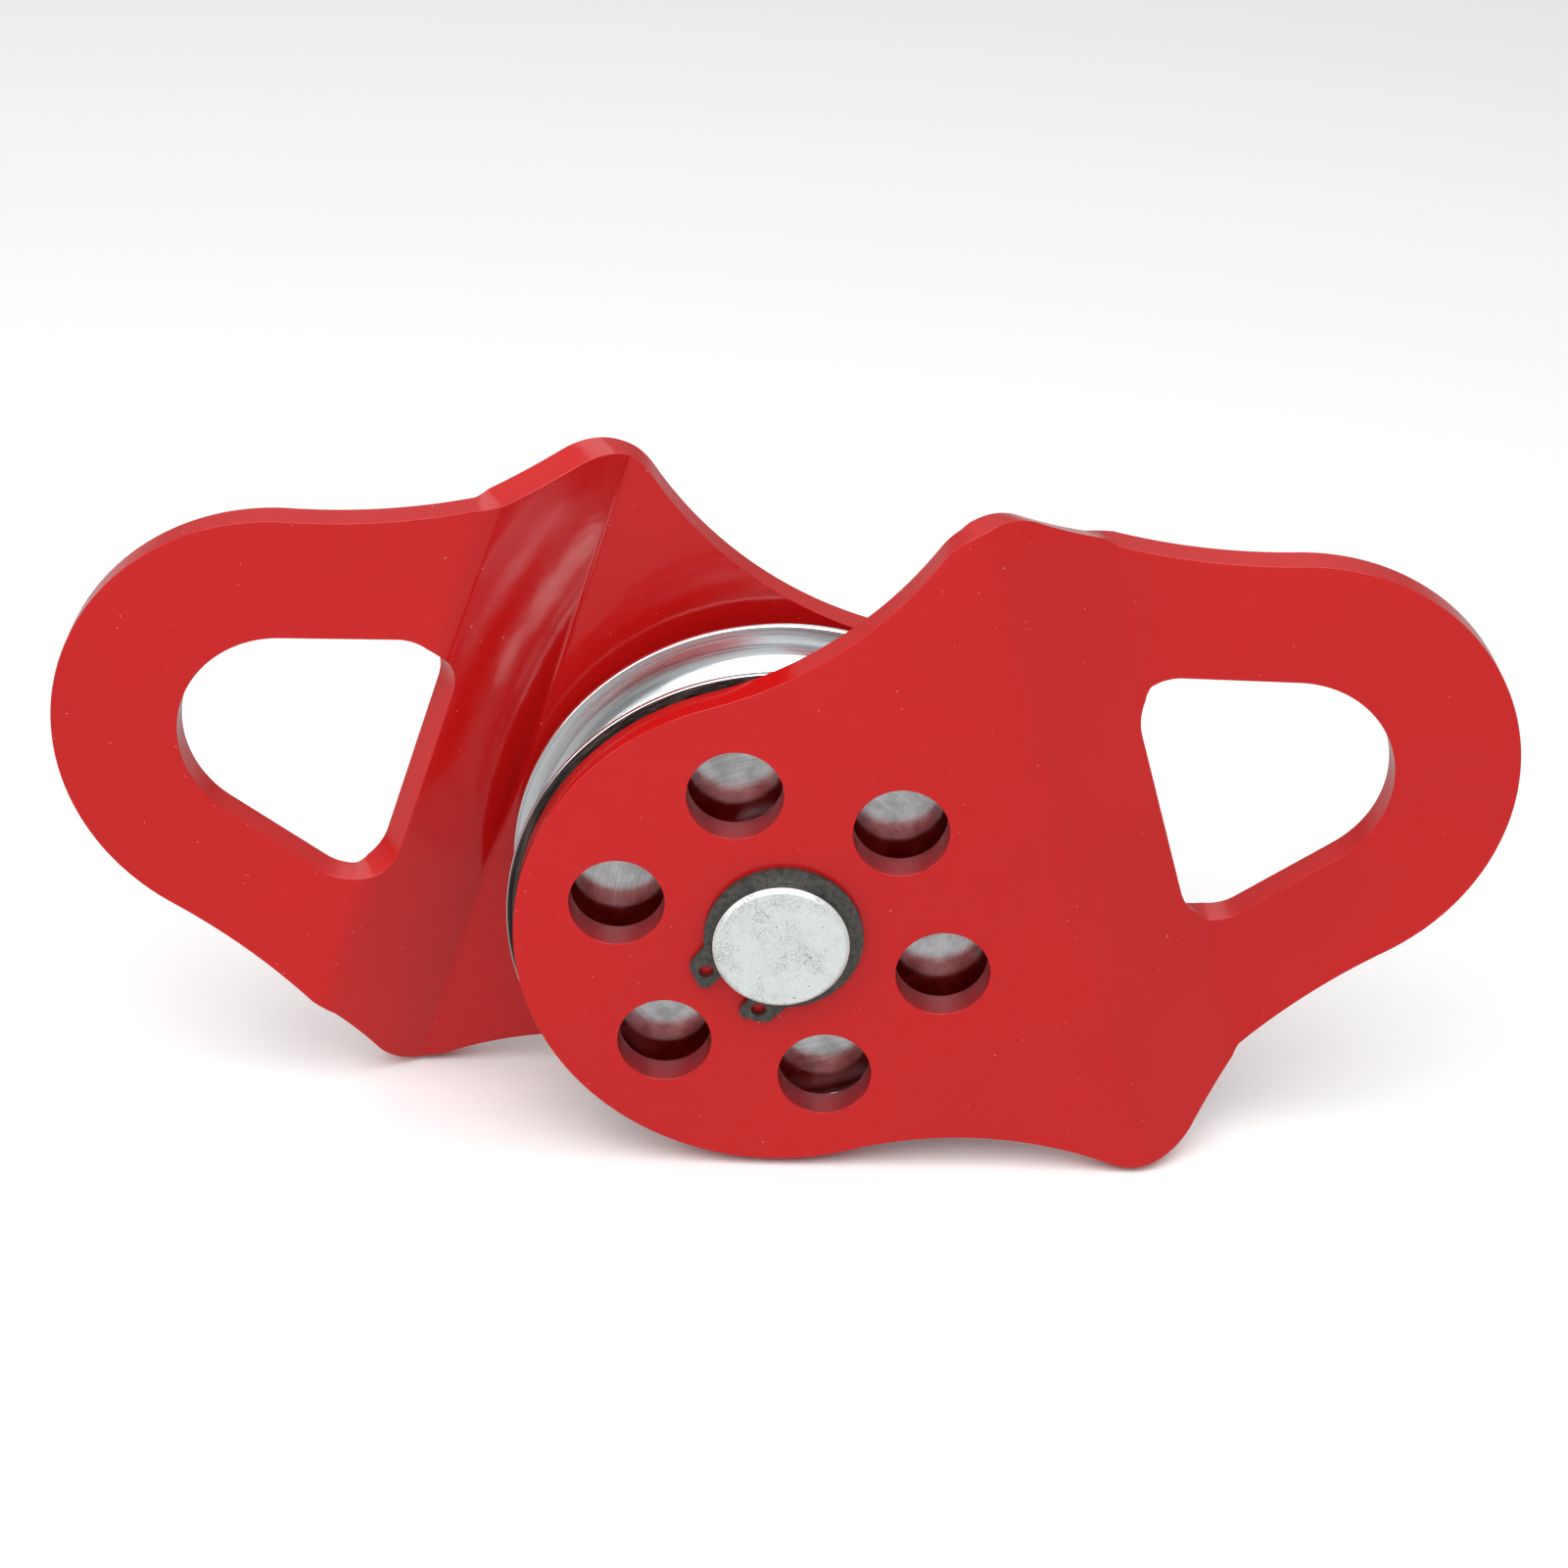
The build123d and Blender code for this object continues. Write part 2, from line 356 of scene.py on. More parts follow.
@dataclass(frozen=True)
class RedPowderCoat:
    """Glossy red powder coat with a faint orange peel, dust and hairline scuffs."""

    name: str = "red_powder_coat"
    colour: Colour = (0.490, 0.0058, 0.0055, 1)
    deep: Colour = (0.455, 0.0048, 0.0050, 1)
    dust: Colour = (0.80, 0.42, 0.38, 1)

    def make(self) -> bpy.types.Material:
        """Wires the coat's nodes."""
        recipe = Recipe(self.name)
        cloud = recipe.ramp(recipe.noise(18, 1), 0.35, 0.65)
        base = recipe.mix(cloud, self.colour, self.deep)
        specks = recipe.ramp(recipe.noise(1300, 1, 0.3), 0.80, 0.83, (0, 0.4))
        colour = recipe.mix(specks, base, self.dust)
        peel = recipe.bump(recipe.noise(420, 1.0, 0.3), 0.00003)
        nibs = recipe.bump(specks, 0.00008, peel)
        scuffs = recipe.noise(130, 4, 0.6, recipe.stretched((1, 1, 9), (0, 0.5, 0)))
        rough = recipe.ramp(scuffs, 0.3, 0.8, (0.09, 0.17))
        return recipe.finish(Base_Color=colour, Roughness=rough, IOR=1.5, Normal=nibs)


@dataclass(frozen=True)
class BoreCoatWithPaintedShade:
    """The satin coat on the walls of the drilled holes, streaked along the drill's path; its darker colour is
    painted shade inside the holes, and its colour streaks are painted reflections.
    """

    name: str = "bore_coat_with_painted_shade"
    # Both colours are painted darker than the face coat as painted shade inside the holes; deep gives the
    # darker streaks of the painted reflections.
    colour: Colour = (0.30, 0.009, 0.014, 1)
    deep: Colour = (0.24, 0.008, 0.012, 1)

    def make(self) -> bpy.types.Material:
        """Wires the bore's nodes."""
        recipe = Recipe(self.name)
        drill_streaks_and_painted_reflections = recipe.noise(520, 3, 0.6, recipe.stretched((1, 0.08, 1)))
        # Painted shade and painted reflection: the colour is darker than the face coat and streaked like
        # reflections, while the roughness and bump streaks are real drill marks.
        colour = recipe.mix(recipe.ramp(drill_streaks_and_painted_reflections, 0.35, 0.65), self.deep, self.colour)
        marks = recipe.bump(drill_streaks_and_painted_reflections, 0.00002)
        rough = recipe.ramp(drill_streaks_and_painted_reflections, 0.3, 0.7, (0.30, 0.42))
        return recipe.finish(Base_Color=colour, Roughness=rough, IOR=1.5, Normal=marks)


@dataclass(frozen=True)
class TurnedZinc:
    """Bright zinc over turned steel, with fine rings left by the lathe."""

    name: str = "turned_zinc"
    light: Colour = (0.90, 0.93, 0.95, 1)
    dark: Colour = (0.30, 0.33, 0.36, 1)

    def make(self) -> bpy.types.Material:
        """Wires the zinc's nodes."""
        recipe = Recipe(self.name)
        rings = recipe.noise(1.0, 4, 0.65, recipe.turned(2600, 0.6))
        broad = recipe.noise(1.0, 3, 0.6, recipe.turned(900, 1.2))
        shade = recipe.ramp(broad, 0.46, 0.66, (0.0, 0.85))
        colour = recipe.mix(shade, self.light, self.dark)
        rough = recipe.ramp(rings, 0.3, 0.7, (0.14, 0.30))
        lathe = recipe.bump(rings, 0.000022)
        return recipe.finish(Base_Color=colour, Metallic=1.0, Roughness=rough, Normal=lathe)


@dataclass(frozen=True)
class DarkRimSteel:
    """Dark, rough steel on the sheave's flat sides by its rim."""

    name: str = "dark_rim_steel"
    # The flat sides by the rim are coloured near black.
    light: Colour = (0.11, 0.10, 0.09, 1)
    dark: Colour = (0.012, 0.011, 0.011, 1)

    def make(self) -> bpy.types.Material:
        """Wires the dark steel's nodes."""
        recipe = Recipe(self.name)
        grain = recipe.noise(1.0, 5, 0.7, recipe.turned(1400, 9))
        colour = recipe.mix(recipe.ramp(grain, 0.42, 0.62), self.dark, self.light)
        pits = recipe.bump(recipe.noise(2400, 4, 0.6), 0.0001)
        rough = recipe.ramp(grain, 0.3, 0.7, (0.38, 0.62))
        return recipe.finish(Base_Color=colour, Metallic=0.5, Roughness=rough, Normal=pits)


@dataclass(frozen=True)
class BrushedDish:
    """Bright turned steel on the sheave's dished sides, with stray scratches and stains."""

    name: str = "brushed_dish"
    light: Colour = (0.86, 0.87, 0.89, 1)
    dark: Colour = (0.52, 0.51, 0.51, 1)

    def make(self) -> bpy.types.Material:
        """Wires the turned steel's nodes."""
        recipe = Recipe(self.name)
        smear = recipe.noise(210, 5, 0.65)
        rings = recipe.noise(1.0, 4, 0.7, recipe.turned(3200, 3))
        stains = recipe.maths("MULTIPLY", smear, 0.7)
        shade = recipe.maths("ADD", stains, recipe.maths("MULTIPLY", rings, 0.3))
        colour = recipe.mix(recipe.ramp(shade, 0.40, 0.60), self.dark, self.light)
        rough = recipe.ramp(smear, 0.3, 0.7, (0.11, 0.22))
        marks = recipe.bump(rings, 0.000010)
        return recipe.finish(Base_Color=colour, Metallic=1.0, Roughness=rough, Normal=marks)


@dataclass(frozen=True)
class PlatedPin:
    """Dull white zinc plate on the pin, with specks, pits and hairline scribbles on its ends."""

    name: str = "plated_pin"
    light: Colour = (0.76, 0.82, 0.80, 1)
    dull: Colour = (0.58, 0.62, 0.60, 1)
    mark: Colour = (0.22, 0.20, 0.18, 1)

    def make(self) -> bpy.types.Material:
        """Wires the plating's nodes."""
        recipe = Recipe(self.name)
        fine = recipe.noise(2400, 4, 0.7)
        base = recipe.mix(recipe.ramp(fine, 0.40, 0.70, (0, 0.6)), self.light, self.dull)
        wander = recipe.noise(1100, 3, 0.6, recipe.stretched((1, 1, 1.6), (0, 0.5, 0)))
        line = recipe.maths("ABSOLUTE", recipe.maths("SUBTRACT", wander, 0.5))
        hair = recipe.ramp(line, 0.004, 0.030, (1, 0))
        patch = recipe.ramp(recipe.noise(190, 2, 0.5), 0.42, 0.58)
        pits = recipe.ramp(recipe.noise(1500, 2, 0.4), 0.70, 0.76, (0, 0.8))
        scribbles = recipe.maths("MULTIPLY", recipe.maths("MULTIPLY", hair, patch), 0.8)
        marks = recipe.maths("MAXIMUM", scribbles, pits)
        colour = recipe.mix(marks, base, self.mark)
        sunk = recipe.bump(recipe.maths("SUBTRACT", 1.0, marks), 0.00004)
        rough = recipe.ramp(fine, 0.3, 0.7, (0.30, 0.46))
        return recipe.finish(Base_Color=colour, Metallic=0.35, Roughness=rough, Normal=sunk)


@dataclass(frozen=True)
class PhosphatedSpring:
    """Dark grey phosphate on the retaining rings."""

    name: str = "phosphated_spring"
    light: Colour = (0.125, 0.120, 0.110, 1)
    dark: Colour = (0.055, 0.054, 0.050, 1)

    def make(self) -> bpy.types.Material:
        """Wires the phosphate's nodes."""
        recipe = Recipe(self.name)
        fine = recipe.noise(900, 4, 0.6)
        colour = recipe.mix(recipe.ramp(fine, 0.35, 0.65), self.dark, self.light)
        rough = recipe.ramp(fine, 0.3, 0.7, (0.30, 0.42))
        grain = recipe.bump(recipe.noise(2200, 3, 0.6), 0.00001)
        return recipe.finish(Base_Color=colour, Metallic=0.6, Roughness=rough, Normal=grain)


@dataclass(frozen=True)
class PlainMetal:
    """A bare turned metal, for the bushing, the washers and the pin's sides."""

    name: str
    light: Colour
    dark: Colour
    roughness: float

    def make(self) -> bpy.types.Material:
        """Wires the metal's nodes."""
        recipe = Recipe(self.name)
        rings = recipe.noise(1.0, 4, 0.6, recipe.turned(2200, 0.8))
        colour = recipe.mix(recipe.ramp(rings, 0.3, 0.7), self.dark, self.light)
        rough = recipe.ramp(rings, 0.3, 0.7, (self.roughness - 0.06, self.roughness + 0.08))
        marks = recipe.bump(rings, 0.00001)
        return recipe.finish(Base_Color=colour, Metallic=1.0, Roughness=rough, Normal=marks)


# ---------------------------------------------------------------- side plates


@dataclass
class SidePlates:
    """The two joggled side plates, cut and folded from one flat pattern."""

    thickness: float = 0.0064
    gap: float = 0.0268
    eye_gap: float = 0.0010
    open_angle: float = math.radians(17.3)
    bore: float = 0.01255
    hole: float = 0.0087
    hole_ring: float = 0.03075
    hole_count: int = 6
    round_end: Circle = (0.0, 0.0, 0.0488)
    wing: Circle = (0.0551, 0.0545, 0.0136)
    eye_end_x: float = 0.0957
    eye_end_r: float = 0.0427
    neck_r: float = 0.0740
    flare_r: float = 0.1220
    bend_xs: tuple[float, float] = (0.0534, 0.07515)
    bend_r: float = 0.0032
    eye_r: float = 0.0198
    eye_corner: Circle = (0.0791, 0.0170, 0.0088)
    edge_round: float = 0.0011
    tool_past: float = 0.002
    bore_margin: float = 0.001
    wall_slope: float = 0.3
    step: float = 0.0011
    slices: int = 8

    def __post_init__(self) -> None:
        """Works out the bent middle line from its two corners."""
        half = self.thickness / 2
        self.outer_y = -self.gap / 2 - self.thickness
        self.plate_y = self.outer_y + half
        self.eye_y = -self.eye_gap / 2 - half
        self.angle = math.atan2(self.eye_y - self.plate_y, self.bend_xs[1] - self.bend_xs[0])
        shift = math.tan(self.angle / 2) * half
        corners = [x - shift for x in self.bend_xs]
        self.mid_r = self.bend_r + half
        trim = self.mid_r * math.tan(self.angle / 2)
        self.arc = self.mid_r * self.angle
        slope = (corners[1] - corners[0]) / math.cos(self.angle) - 2 * trim
        self.corner = corners[0]
        self.trim = trim
        self.starts = (corners[0] - trim, corners[0] - trim + self.arc + slope)
        self.extra = self.starts[1] + self.arc - corners[1] - trim

    def hollow(self, radius: float, left: Circle, right: Circle) -> Circle:
        """Finds the hollow arc that touches two round corners from outside.

        Args:
            radius: The hollow's radius.
            left: The corner nearer the pin.
            right: The corner nearer the eye.

        Returns:
            The hollow's circle, above both corners.
        """
        run = Vector((right[0] - left[0], right[1] - left[1]))
        first, second = radius + left[2], radius + right[2]
        along = (first**2 - second**2 + run.length_squared) / (2 * run.length)
        rise = math.sqrt(first**2 - along**2)
        unit = run.normalized()
        return (left[0] + along * unit.x - rise * unit.y, left[1] + along * unit.y + rise * unit.x, radius)

    def outline(self) -> list[tuple[Circle, int]]:
        """Lists the circles that the flat outline follows, and which way it goes round each."""
        eye_end = (self.eye_end_x + self.extra, 0.0, self.eye_end_r)
        neck = self.hollow(self.neck_r, self.round_end, self.wing)
        flare = self.hollow(self.flare_r, self.wing, eye_end)
        upper = [(flare, -1), (self.wing, 1), (neck, -1)]
        lower = [((x, -z, r), way) for (x, z, r), way in reversed(upper)]
        return [(self.round_end, 1), *lower, (eye_end, 1), *upper]

    def cut_blank(self) -> Workpiece:
        """Draws the flat outline arc by arc and extrudes it to the plate's thickness."""
        arcs = self.outline()
        touches = []
        for (circle, _), (following, _) in zip(arcs, arcs[1:] + arcs[:1]):
            away = Vector((following[0] - circle[0], 0, following[1] - circle[1])).normalized()
            touches.append(Vector((circle[0], self.outer_y, circle[1])) + circle[2] * away)
        plate = Workpiece.start("front_side_plate_coated", touches[-1])
        for (circle, way), begin, end in zip(arcs, touches[-1:] + touches[:-1], touches):
            centre = Vector((circle[0], self.outer_y, circle[1]))
            first = math.atan2(begin.z - centre.z, begin.x - centre.x)
            last = math.atan2(end.z - centre.z, end.x - centre.x)
            turn = way * ((way * (last - first)) % (2 * math.pi))
            steps = max(6, round(abs(turn) * circle[2] / self.step))
            plate.arc(centre, (0, -1, 0), turn, steps)
        plate.close()
        plate.thicken(self.thickness)
        return plate

    def tool_span(self) -> tuple[float, float]:
        """Where a tool that passes right through the flat plate starts and ends along Y."""
        return self.outer_y - self.tool_past, self.outer_y + self.thickness + self.tool_past

    def drill(self, plate: Workpiece) -> None:
        """Bores the pin hole and the ring of lightening holes."""
        low, high = self.tool_span()
        plate.combine(Workpiece.rod("drill", (0, 0, self.bore), low, high, 160), "DIFFERENCE")
        for number in range(self.hole_count):
            turn = math.radians(30 + 360 * number / self.hole_count)
            at = (self.hole_ring * math.cos(turn), self.hole_ring * math.sin(turn), self.hole)
            plate.combine(Workpiece.rod("drill", at, low, high, 120), "DIFFERENCE")

    def punch_eye(self, plate: Workpiece) -> None:
        """Cuts the shackle eye, the hull of one large circle and two small ones."""
        low, high = self.tool_span()
        x, z, r = self.eye_corner
        punch = Workpiece.rod("punch", (self.eye_end_x + self.extra, 0, self.eye_r), low, high, 200)
        for corner in ((x + self.extra, z, r), (x + self.extra, -z, r)):
            punch.combine(Workpiece.rod("punch_corner", corner, low, high, 120), "UNION")
        punch.edit()
        bpy.ops.mesh.select_all(action="SELECT")
        bpy.ops.mesh.convex_hull()
        punch.tidy()
        plate.combine(punch, "DIFFERENCE")

    def middle(self, bend: int, along: float) -> Vector:
        """The bent middle line's point at a flat distance inside a bend."""
        turn = (along - self.starts[bend]) / self.mid_r
        if bend == 0:
            reach = Vector((math.sin(turn), 1 - math.cos(turn), 0)) * self.mid_r
            return Vector((self.starts[0], self.plate_y, 0)) + reach
        left = self.angle - turn
        end_x = self.starts[1] + self.arc - self.extra
        reach = Vector((math.sin(left), 1 - math.cos(left), 0)) * self.mid_r
        return Vector((end_x, self.eye_y, 0)) - reach

    def fold(self, plate: Workpiece) -> None:
        """Slices the plate across both bends and folds it slice by slice."""
        plate.edit()
        rows = [
            (bend, number, start + self.arc * number / self.slices)
            for bend, start in enumerate(self.starts)
            for number in range(self.slices + 1)
        ]
        for _, _, along in rows:
            bpy.ops.mesh.select_all(action="SELECT")
            bpy.ops.mesh.bisect(plane_co=(along, 0, 0), plane_no=(1, 0, 0), threshold=SLICE_TOLERANCE)
        flat = [vert.co.x for vert in bmesh.from_edit_mesh(plate.obj.data).verts]
        for bend, number, along in rows:
            half_turn = (1, -1)[bend] * self.angle / self.slices / 2
            pivot = self.middle(bend, along)
            for reach, used in ((-ROW_TOLERANCE, number > 0), (ROW_TOLERANCE, number < self.slices)):
                if used:
                    plate.pick(lambda vert: flat[vert.index] > along + reach)
                    bpy.ops.transform.rotate(value=-half_turn, orient_axis="Z", center_override=pivot)
        plate.tidy()

    def swing(self, plate: Workpiece, side: Side) -> None:
        """Turns a front-facing plate to its own side of the block and to its angle."""
        turn = Matrix.Rotation(side.value * self.open_angle, 4, "Y")
        if side is Side.REAR:
            turn = turn @ Matrix.Rotation(math.pi, 4, "Z")
        plate.obj.data.transform(turn)

    def build(self) -> dict[Side, Workpiece]:
        """Makes the front plate and its copy at the rear."""
        plate = self.cut_blank()
        self.drill(plate)
        self.punch_eye(plate)
        plate.soften(self.edge_round, 4)
        self.fold(plate)
        plate.smooth()
        pair = {Side.FRONT: plate, Side.REAR: plate.copy("rear_side_plate_coated")}
        for side, piece in pair.items():
            self.swing(piece, side)
        return pair

    def is_bore(self, face: bpy.types.MeshPolygon) -> bool:
        """Tells whether a face is on the wall of one of the drilled holes."""
        reach = math.hypot(face.center.x, face.center.z)
        is_wall = abs(face.normal.y) <= self.wall_slope
        return is_wall and reach <= self.hole_ring + self.hole + self.bore_margin

    def dress(self, pair: dict[Side, Workpiece], coat: RedPowderCoat, bore: BoreCoatWithPaintedShade) -> None:
        """Coats both plates and seats them on their bodies."""
        materials = (coat.make(), bore.make())
        for side, piece in pair.items():
            for material in materials:
                piece.obj.data.materials.append(material)
            for face in piece.obj.data.polygons:
                # The drilled-hole walls take the bore coat, whose darker, streaked colour is painted shade
                # and painted reflection.
                face.material_index = int(self.is_bore(face))
            word = side.name.lower()
            install(piece, f"{word}_cheek", "red_coat", f"{word}_side_plate")


# ---------------------------------------------------------------- sheave


@dataclass
class Sheave:
    """The grooved wheel, turned from a half section."""

    rim: float = 0.0505
    front_y: float = -0.0128
    width: float = 0.0210
    floor: float = 0.0405
    groove_r: float = 0.0088
    flank: float = math.radians(12)
    dish: tuple[float, float] = (0.0182, 0.0425)
    dish_depth: float = 0.0029
    bore: float = 0.0150
    corner: float = 0.00045
    steps: int = 288

    def build(self) -> Workpiece:
        """Draws the half section and turns it."""
        rear_y = self.front_y + self.width
        mid = (self.front_y + rear_y) / 2
        reach = self.floor + self.groove_r
        end_r = reach - self.groove_r * math.sin(self.flank)
        end_w = self.groove_r * math.cos(self.flank)
        mouth = end_w + (self.rim - end_r) * math.tan(self.flank)
        wheel = Workpiece.start("sheave_turned", (end_r, mid + end_w, 0))
        half = [
            (self.rim, mouth),
            (self.rim, self.width / 2),
            (self.dish[1], self.width / 2),
            (self.dish[1] - 0.0006, self.width / 2 - self.dish_depth),
            (self.dish[0] + 0.0006, self.width / 2 - self.dish_depth),
            (self.dish[0], self.width / 2),
            (self.bore, self.width / 2),
        ]
        for r, offset in half:
            wheel.line((r, mid + offset, 0))
        for r, offset in reversed(half):
            wheel.line((r, mid - offset, 0))
        wheel.line((end_r, mid - end_w, 0))
        wheel.arc((reach, mid, 0), (0, 0, -1), math.pi - 2 * self.flank, 28)
        wheel.close()
        wheel.lathe(self.steps)
        wheel.soften(self.corner, 3, math.radians(25))
        wheel.smooth()
        return wheel

    def dress(self, wheel: Workpiece, zinc: TurnedZinc, dark: DarkRimSteel, brushed: BrushedDish) -> None:
        """Gives the groove, the flat rims and the dished sides their finishes."""
        for finish in (zinc, dark, brushed):
            wheel.obj.data.materials.append(finish.make())
        sides = (self.front_y, self.front_y + self.width)
        for face in wheel.obj.data.polygons:
            centre = face.center
            r = math.hypot(centre.x, centre.z)
            on_side = min(abs(centre.y - y) for y in sides) < 0.0001
            if on_side and r > self.dish[1]:
                face.material_index = 1
            elif r < self.dish[1] + 0.0002 and abs(face.normal.y) > 0.1:
                face.material_index = 2 if self.floor < r or r < self.dish[1] else 0
        install(wheel, "wheel", "zinc_steel", "sheave")


# ---------------------------------------------------------------- pin and rings


@dataclass
class PinSet:
    """The pin and its two retaining rings."""

    radius: float = 0.0125
    length: float = 0.0470
    chamfer: float = 0.0008
    ring_y: float = 0.02047
    seat_width: float = 0.0013
    seat_r: float = 0.01195
    ring_thickness: float = 0.0012
    ring_r: float = 0.01455
    ring_offset: float = 0.00075
    gap_angle: float = math.radians(-129)
    gap_width: float = 0.0073
    lug_angle: float = math.radians(24.9)
    lug_reach: float = 0.01495
    lug_hole: float = 0.0014
    lug: tuple[tuple[float, float], ...] = (
        (0.0, 0.0),
        (0.0163, 0.0039),
        (0.0169, 0.0050),
        (0.0152, 0.0088),
        (0.0142, 0.0096),
        (0.0101, 0.0099),
        (0.0080, 0.0090),
    )
    side_slope: float = 0.5
    ground: PlainMetal = PlainMetal("ground_pin", (0.80, 0.82, 0.82, 1), (0.58, 0.59, 0.60, 1), 0.20)

    def build_pin(self) -> Workpiece:
        """Draws the pin's half section and turns it."""
        end = self.length / 2
        seat = (self.ring_y - self.seat_width / 2, self.ring_y + self.seat_width / 2)
        half = [
            (self.radius - self.chamfer, end),
            (self.radius, end - self.chamfer),
            (self.radius, seat[1]),
            (self.seat_r, seat[1]),
            (self.seat_r, seat[0]),
            (self.radius, seat[0]),
        ]
        pin = Workpiece.start("centre_pin_turned", (0, end, 0))
        for r, y in half:
            pin.line((r, y, 0))
        for r, y in reversed(half):
            pin.line((r, -y, 0))
        pin.line((0, -end, 0))
        pin.lathe(160)
        pin.soften(0.00012, 2)
        pin.smooth()
        return pin

    def build_ring(self) -> Workpiece:
        """Cuts the front retaining ring from round and square stock."""
        low = -self.ring_y - self.ring_thickness / 2
        high = low + self.ring_thickness
        away = Vector((math.cos(self.gap_angle), math.sin(self.gap_angle)))
        centre = -self.ring_offset * away
        ring = Workpiece.rod("front_retaining_ring_cut", (centre.x, centre.y, self.ring_r), low, high, 160)
        for hand in (1, -1):
            ring.combine(self.ear(hand, low), "UNION")
        ring.combine(Workpiece.rod("bore", (0, 0, self.seat_r), low - 0.001, high + 0.001, 160), "DIFFERENCE")
        ring.combine(self.gap(low), "DIFFERENCE")
        for turn in (self.gap_angle - self.lug_angle, self.gap_angle + self.lug_angle):
            at = (self.lug_reach * math.cos(turn), self.lug_reach * math.sin(turn), self.lug_hole)
            ring.combine(Workpiece.rod("lug_hole", at, low - 0.001, high + 0.001, 40), "DIFFERENCE")
        ring.soften(0.00014, 2)
        ring.smooth()
        return ring

    def outline(
        self, name: str, points: Sequence[tuple[float, float]], turn: float, low: float, deep: float
    ) -> Workpiece:
        """Draws a flat shape beside the pin, turned about its axis, and extrudes it.

        Args:
            name: The new piece's name.
            points: The shape's corners, as distance out along the turn and across it.
            turn: Which way out is, from +X towards +Z.
            low: Its lower end along Y.
            deep: How far it goes along Y.

        Returns:
            The piece, in object mode.
        """
        out = Vector((math.cos(turn), 0, math.sin(turn)))
        across = Vector((-out.z, 0, out.x))
        placed = [out * a + across * b + Vector((0, low, 0)) for a, b in points]
        shape = Workpiece.start(name, placed[0])
        for point in placed[1:]:
            shape.line(point)
        shape.close()
        shape.thicken(deep)
        return shape

    def ear(self, hand: int, low: float) -> Workpiece:
        """One eared end, on the side of the gap that hand gives."""
        points = [(out, hand * across) for out, across in self.lug]
        return self.outline("ear", points, self.gap_angle, low, self.ring_thickness)

    def gap(self, low: float) -> Workpiece:
        """The block of metal missing between the two ears."""
        half = self.gap_width / 2
        points = [(0, -half), (0.03, -half), (0.03, half), (0, half)]
        return self.outline("gap", points, self.gap_angle, low - 0.001, self.ring_thickness + 0.002)

    def dress(self, pin: Workpiece, ring: Workpiece, plating: PlatedPin, spring: PhosphatedSpring) -> None:
        """Plates the pin, copies the ring to the rear and seats all three."""
        pin.obj.data.materials.append(plating.make())
        pin.obj.data.materials.append(self.ground.make())
        for face in pin.obj.data.polygons:
            face.material_index = int(abs(face.normal.y) < self.side_slope)
        install(pin, "pin", "pin_steel", "centre_pin")
        ring.obj.data.materials.append(spring.make())
        rear = ring.copy("rear_retaining_ring_cut")
        rear.obj.data.transform(Matrix.Translation((0, 2 * self.ring_y, 0)))
        install(ring, "pin", "spring_steel", "front_retaining_ring")
        install(rear, "pin", "spring_steel", "rear_retaining_ring")


# ---------------------------------------------------------------- small turned parts


@dataclass
class Spacers:
    """The bushing and the two washers, which keep their CAD shape."""

    bronze: PlainMetal = PlainMetal("bushing_bronze", (0.62, 0.42, 0.20, 1), (0.40, 0.24, 0.10, 1), 0.34)
    steel: PlainMetal = PlainMetal("washer_steel_bare", (0.60, 0.60, 0.60, 1), (0.36, 0.36, 0.37, 1), 0.36)

    def dress(self) -> None:
        """Gives each one its bare metal."""
        bronze = self.bronze.make()
        steel = self.steel.make()
        finishes = {"sheave_bushing": bronze, "front_shim_washer": steel, "rear_spacer_ring": steel}
        for name, material in finishes.items():
            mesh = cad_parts[name].data
            mesh.materials.clear()
            mesh.materials.append(material)
            log.info("%s: %s", name, material.name)


# ---------------------------------------------------------------- studio


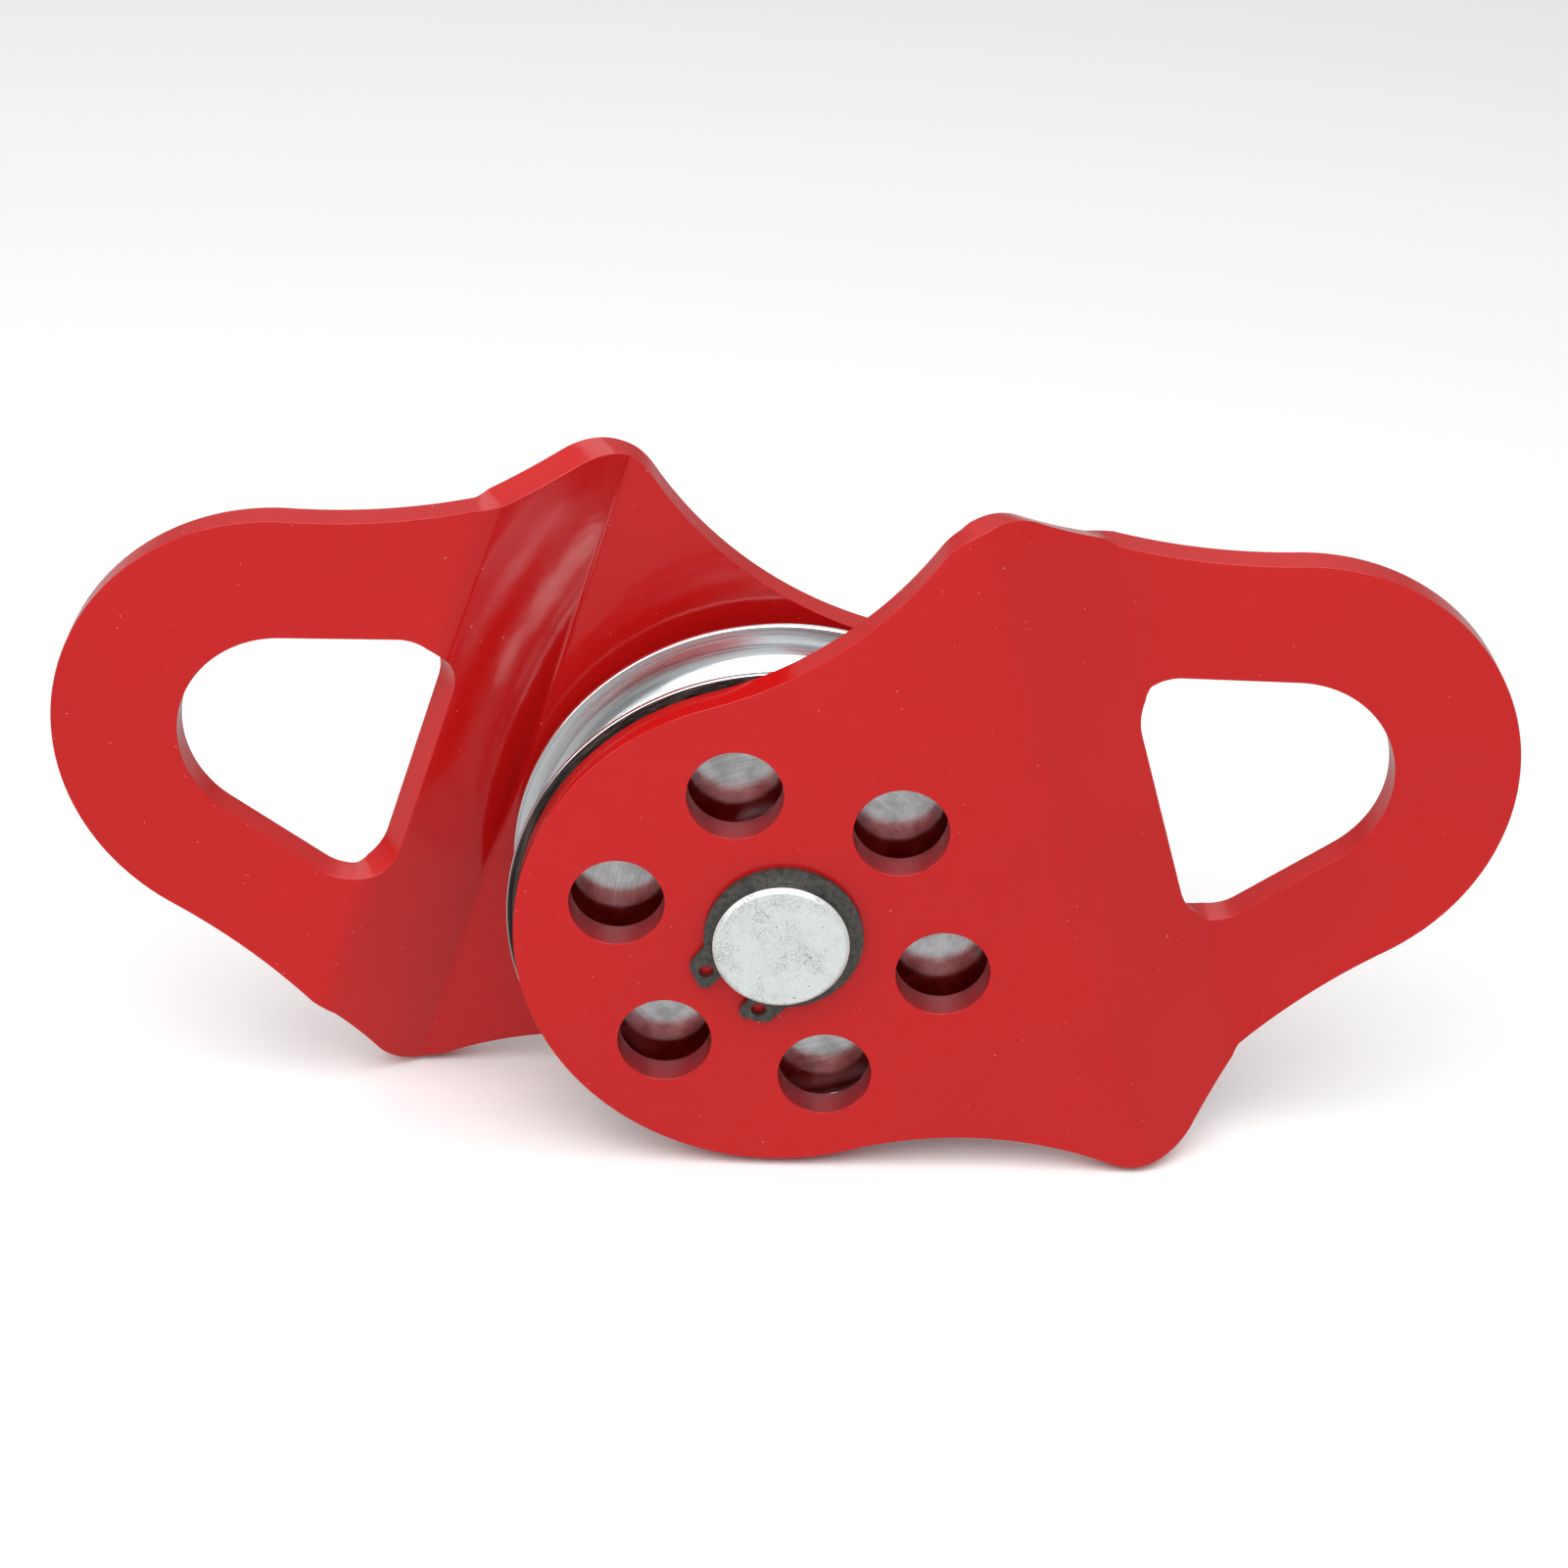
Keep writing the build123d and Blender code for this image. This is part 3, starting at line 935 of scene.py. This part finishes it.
@dataclass
class Studio:
    """A pale floor, soft lights and the camera."""

    lens: float = 71.30
    azimuth: float = math.radians(-0.654)
    elevation: float = math.radians(28.571)
    target: Point = (0.000571, -0.0198, 0.032139)
    distance: float = 0.550617
    roll_about_pin: float = math.radians(-1.98)
    floor_size: float = 8.0
    sky: tuple[float, float, float] = (0.50, 0.22, 0.60)
    sky_heights: tuple[float, float, float] = (0.40, 0.55, 0.85)
    lights: dict[str, tuple[Point, float, float, float]] = field(
        default_factory=lambda: {
            "overhead": ((0.0, -0.55, 1.0), 1.5, 1.1, 15.0),
            "behind": ((0.0, 1.3, 1.1), 2.2, 0.6, 3.0),
            "left": ((-1.3, -0.5, 0.7), 0.7, 0.9, 5.0),
        }
    )

    def floor(self) -> None:
        """Lays the floor under the lowest point of the block."""
        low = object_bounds()[0][2]
        bpy.ops.mesh.primitive_plane_add(size=self.floor_size, location=(0, 0, low))
        sheet = bpy.context.object
        sheet.name = "floor"
        recipe = Recipe("pale_floor")
        sheet.data.materials.append(recipe.finish(Base_Color=(0.90, 0.90, 0.90, 1), Roughness=0.9))
        sheet.visible_glossy = False
        sheet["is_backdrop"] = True

    def light(self) -> None:
        """Hangs the soft boxes and sets the sky."""
        for name, (place, width, height, power) in self.lights.items():
            lamp = bpy.data.lights.new(name, "AREA")
            lamp.shape = "RECTANGLE"
            lamp.size = width
            lamp.size_y = height
            lamp.energy = power
            holder = bpy.data.objects.new(name, lamp)
            bpy.context.scene.collection.objects.link(holder)
            holder.location = place
            holder.rotation_euler = (-Vector(place)).to_track_quat("-Z", "Y").to_euler()
        bpy.context.scene.world = self.surroundings()
        bpy.context.scene.view_settings.view_transform = "Standard"

    def surroundings(self) -> bpy.types.World:
        """A soft room, darkest at eye level."""
        world = bpy.data.worlds.new("studio")
        world.use_nodes = True
        tree = world.node_tree
        facing = tree.nodes.new("ShaderNodeSeparateXYZ")
        tree.links.new(tree.nodes.new("ShaderNodeTexCoord").outputs["Generated"], facing.inputs[0])
        shade = tree.nodes.new("ShaderNodeValToRGB")
        shade.color_ramp.elements.new(0.5)
        for stop, place, level in zip(shade.color_ramp.elements, self.sky_heights, self.sky):
            stop.position = place
            stop.color = (level, level, level, 1)
        height = tree.nodes.new("ShaderNodeMath")
        height.operation = "MULTIPLY_ADD"
        height.inputs[1].default_value = 0.5
        height.inputs[2].default_value = 0.5
        tree.links.new(facing.outputs["Z"], height.inputs[0])
        tree.links.new(height.outputs[0], shade.inputs[0])
        tree.links.new(shade.outputs[0], tree.nodes["Background"].inputs["Color"])
        return world

    def camera(self) -> None:
        """Sets the camera up above the front plate."""
        sin_a, cos_a = math.sin(self.azimuth), math.cos(self.azimuth)
        sin_e, cos_e = math.sin(self.elevation), math.cos(self.elevation)
        back = Vector((sin_a * cos_e, -cos_a * cos_e, sin_e))
        right = Vector((cos_a, sin_a, 0))
        up = back.cross(right)
        place = Matrix((right, up, back)).transposed().to_4x4()
        place.translation = Vector(self.target) + self.distance * back
        lens = bpy.data.cameras.new("camera")
        lens.sensor_width = 36
        lens.lens = self.lens
        holder = bpy.data.objects.new("camera", lens)
        bpy.context.scene.collection.objects.link(holder)
        holder.matrix_world = Matrix.Rotation(self.roll_about_pin, 4, "Y") @ place
        bpy.context.scene.camera = holder


def main() -> None:
    """Builds and dresses the block, a sub-assembly at a time."""
    studio = Studio()
    studio.floor()
    studio.light()
    studio.camera()
    plates = SidePlates()
    plates.dress(plates.build(), RedPowderCoat(), BoreCoatWithPaintedShade())
    sheave = Sheave()
    sheave.dress(sheave.build(), TurnedZinc(), DarkRimSteel(), BrushedDish())
    pins = PinSet()
    pins.dress(pins.build_pin(), pins.build_ring(), PlatedPin(), PhosphatedSpring())
    Spacers().dress()


if __name__ == "__main__":
    main()
